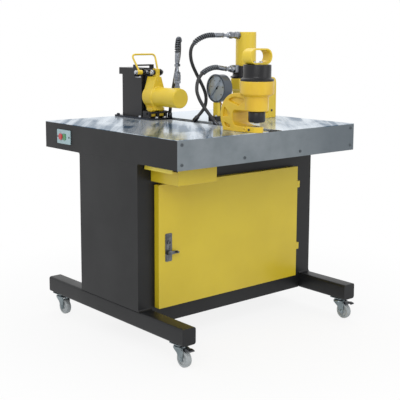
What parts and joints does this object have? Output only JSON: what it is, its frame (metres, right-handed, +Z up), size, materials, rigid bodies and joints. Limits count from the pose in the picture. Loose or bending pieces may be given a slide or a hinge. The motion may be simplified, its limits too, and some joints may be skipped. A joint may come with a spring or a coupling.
{
  "type": "busbar processing machine",
  "caption": "Wheeled steel cabinet table carrying a hydraulic bender, cutter and punch for flat copper and aluminium bars, with a door, scrap tray and pressure gauge.",
  "frame": {"origin": "on the floor, under the middle of the whole machine's outer box", "axes": "+X along the table's width to the operator's right, +Y from the door towards the back, +Z up"},
  "size_m": [0.944, 0.9294, 1.19],
  "materials": {
    "yellow_paint": "gloss",
    "black_paint": "gloss",
    "polished_steel": "polished sheet",
    "galvanised_steel": "galvanised",
    "black_steel": "black oxide, satin",
    "tool_steel": "ground",
    "wheel_plastic": "satin",
    "caster_steel": "zinc plated",
    "zinc": "bright zinc plated",
    "switch_grey": "satin",
    "button_green": "gloss",
    "button_red": "gloss",
    "gauge_grey": "satin",
    "dial_white": "matt",
    "needle_black": "matt",
    "hose_rubber": "satin",
    "tank_grey": "satin",
    "motor_grey": "satin",
    "aluminium_block": "milled",
    "valve_black": "satin"
  },
  "bodies": {
    "frame": {"column_left": "black_paint", "column_right": "black_paint", "foot_beam_left": "black_paint", "foot_beam_right": "black_paint", "frame_rails": "black_paint", "table_frame": "black_paint", "side_aprons": "black_paint", "front_apron": "galvanised_steel", "top_sheets": "polished_steel", "cabinet_back": "black_paint", "switch_box": "switch_grey", "caster_plates": "caster_steel", "bender_base": "black_steel", "bender_die": "black_steel", "bender_links": "black_steel", "bender_head": "yellow_paint", "cutter_body": "yellow_paint", "cutter_anvil": "yellow_paint", "cutter_collar": "black_steel", "cutter_cylinder": "yellow_paint", "cutter_lower_blade": "tool_steel", "punch_frame": "yellow_paint", "punch_cap": "black_steel", "punch_handle": "yellow_paint", "punch_die": "tool_steel", "gauge_base": "black_steel", "gauge_post": "yellow_paint", "gauge_case": "gauge_grey", "gauge_dial": "dial_white", "hose_bender": "hose_rubber", "hose_upper": "hose_rubber", "hose_lower": "hose_rubber", "hydraulic_fittings": "zinc", "bolts": "zinc", "oil_tank": "tank_grey", "motor": "motor_grey", "valve_block": "aluminium_block", "solenoid_valves": "valve_black"},
    "door": {"door": "yellow_paint", "hinge_barrels": "yellow_paint", "lock_plate": "zinc"},
    "lock_lever": {"lock_lever": "zinc"},
    "tray": {"scrap_tray": "yellow_paint"},
    "start_button": {"start_button": "button_green"},
    "stop_button": {"stop_button": "button_red"},
    "bender_ram": {"bender_ram": "tool_steel"},
    "bender_bail": {"bender_bail": "yellow_paint"},
    "cutter_blade": {"cutter_blade": "tool_steel"},
    "punch_ram": {"punch_ram": "black_steel"},
    "gauge_needle": {"gauge_needle": "needle_black"},
    "fork_front_left": {"fork_front_left": "caster_steel"},
    "wheel_front_left": {"wheel_front_left": "wheel_plastic"},
    "fork_front_right": {"fork_front_right": "caster_steel"},
    "wheel_front_right": {"wheel_front_right": "wheel_plastic"},
    "fork_rear_left": {"fork_rear_left": "caster_steel"},
    "wheel_rear_left": {"wheel_rear_left": "wheel_plastic"},
    "fork_rear_right": {"fork_rear_right": "caster_steel"},
    "wheel_rear_right": {"wheel_rear_right": "wheel_plastic"},
    "brake_left": {"brake_left": "caster_steel"},
    "brake_right": {"brake_right": "caster_steel"}
  },
  "joints": [
    {"name": "door_hinge", "type": "hinge", "parent": "frame", "child": "door", "pos_m": [0.373, -0.19025, 0.4], "axis": [0, 0, 1], "range_deg": [0, 120]},
    {"name": "lock_turn", "type": "hinge", "parent": "door", "child": "lock_lever", "pos_m": [-0.334, -0.19025, 0.366], "axis": [0, 1, 0], "range_deg": [0, 90]},
    {"name": "tray_slide", "type": "slide", "parent": "frame", "child": "tray", "axis": [-1, 0, 0], "range_m": [0, 0.15]},
    {"name": "swivel_front_left", "type": "hinge", "parent": "frame", "child": "fork_front_left", "pos_m": [-0.427, -0.38625, 0.077], "axis": [0, 0, 1], "continuous": true},
    {"name": "spin_front_left", "type": "hinge", "parent": "fork_front_left", "child": "wheel_front_left", "pos_m": [-0.427, -0.41125, 0.0315], "axis": [1, 0, 0], "continuous": true},
    {"name": "swivel_front_right", "type": "hinge", "parent": "frame", "child": "fork_front_right", "pos_m": [0.441, -0.38625, 0.077], "axis": [0, 0, 1], "continuous": true},
    {"name": "spin_front_right", "type": "hinge", "parent": "fork_front_right", "child": "wheel_front_right", "pos_m": [0.441, -0.41125, 0.0315], "axis": [1, 0, 0], "continuous": true},
    {"name": "swivel_rear_left", "type": "hinge", "parent": "frame", "child": "fork_rear_left", "pos_m": [-0.427, 0.41375, 0.077], "axis": [0, 0, 1], "continuous": true},
    {"name": "spin_rear_left", "type": "hinge", "parent": "fork_rear_left", "child": "wheel_rear_left", "pos_m": [-0.427, 0.38875, 0.0315], "axis": [1, 0, 0], "continuous": true},
    {"name": "swivel_rear_right", "type": "hinge", "parent": "frame", "child": "fork_rear_right", "pos_m": [0.441, 0.41375, 0.077], "axis": [0, 0, 1], "continuous": true},
    {"name": "spin_rear_right", "type": "hinge", "parent": "fork_rear_right", "child": "wheel_rear_right", "pos_m": [0.441, 0.38875, 0.0315], "axis": [1, 0, 0], "continuous": true},
    {"name": "brake_press_left", "type": "hinge", "parent": "fork_front_left", "child": "brake_left", "pos_m": [-0.427, -0.41625, 0.068], "axis": [1, 0, 0], "range_deg": [0, 14]},
    {"name": "brake_press_right", "type": "hinge", "parent": "fork_front_right", "child": "brake_right", "pos_m": [0.441, -0.41625, 0.068], "axis": [1, 0, 0], "range_deg": [0, 14]},
    {"name": "bender_stroke", "type": "slide", "parent": "frame", "child": "bender_ram", "axis": [0, 1, 0], "range_m": [0, 0.038]},
    {"name": "bail_swing", "type": "hinge", "parent": "frame", "child": "bender_bail", "pos_m": [-0.053, 0.28575, 1.019], "axis": [1, 0, 0], "range_deg": [0, 110]},
    {"name": "cutter_stroke", "type": "slide", "parent": "frame", "child": "cutter_blade", "axis": [0, 0, -1], "range_m": [0, 0.046]},
    {"name": "punch_stroke", "type": "slide", "parent": "frame", "child": "punch_ram", "axis": [0, 0, -1], "range_m": [0, 0.0145]},
    {"name": "needle_turn", "type": "hinge", "parent": "frame", "child": "gauge_needle", "pos_m": [0.09, 0.01375, 0.957], "axis": [1, 0, 0], "range_deg": [0, 270], "stiffness_Nm_per_rad": 0.001, "springref_deg": -11.46},
    {"name": "start_press", "type": "slide", "parent": "frame", "child": "start_button", "axis": [1, 0, 0], "range_m": [0, 0.003], "stiffness_N_per_m": 400},
    {"name": "stop_press", "type": "slide", "parent": "frame", "child": "stop_button", "axis": [1, 0, 0], "range_m": [0, 0.003], "stiffness_N_per_m": 600}
  ]
}
